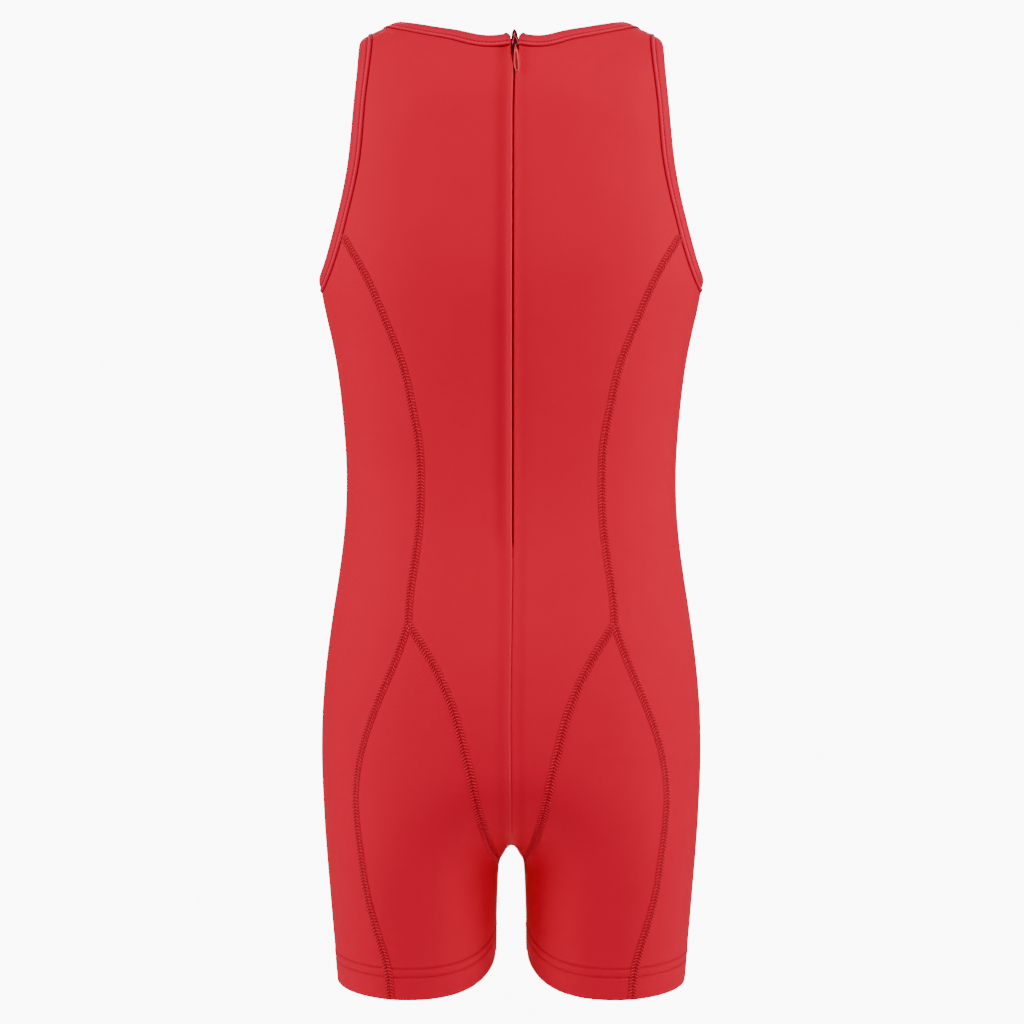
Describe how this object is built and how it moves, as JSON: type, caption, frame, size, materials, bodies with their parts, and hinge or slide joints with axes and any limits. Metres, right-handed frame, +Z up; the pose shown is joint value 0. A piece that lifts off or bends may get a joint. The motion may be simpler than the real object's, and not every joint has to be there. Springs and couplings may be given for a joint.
{
  "type": "gymnastics bodysuit",
  "caption": "Sleeveless, short-legged gymnastics bodysuit in stretch knit, open at the neck, armholes and legs, with a zip down the centre back.",
  "frame": {"origin": "midway between the two shoulder straps, at the height where the wearer's shoulders carry the suit", "axes": "+Z up the suit, +Y out of its back where the zip is, +X towards the wearer's left"},
  "size_m": [0.258, 0.178, 0.648],
  "materials": {
    "stretch_knit": "smooth matte-satin stretch knit",
    "binding_knit": "folded stretch knit band",
    "zip_tape": "fine woven tape",
    "painted_metal": "glossy painted metal"
  },
  "bodies": {
    "suit": {"front": "stretch_knit", "back_left": "stretch_knit", "back_right": "stretch_knit", "side_left": "stretch_knit", "side_right": "stretch_knit", "back_leg_left": "stretch_knit", "back_leg_right": "stretch_knit", "neck_binding": "binding_knit", "armhole_binding_left": "binding_knit", "armhole_binding_right": "binding_knit", "zip_tape_left": "zip_tape", "zip_tape_right": "zip_tape", "zip_slider": "painted_metal"},
    "pull_tab": {"pull_tab": "painted_metal"}
  },
  "joints": [
    {"name": "pull_tab_hinge", "type": "hinge", "parent": "suit", "child": "pull_tab", "pos_m": [0, 0.06579, -0.01801], "axis": [1, 0, 0], "range_deg": [0, 150]}
  ]
}
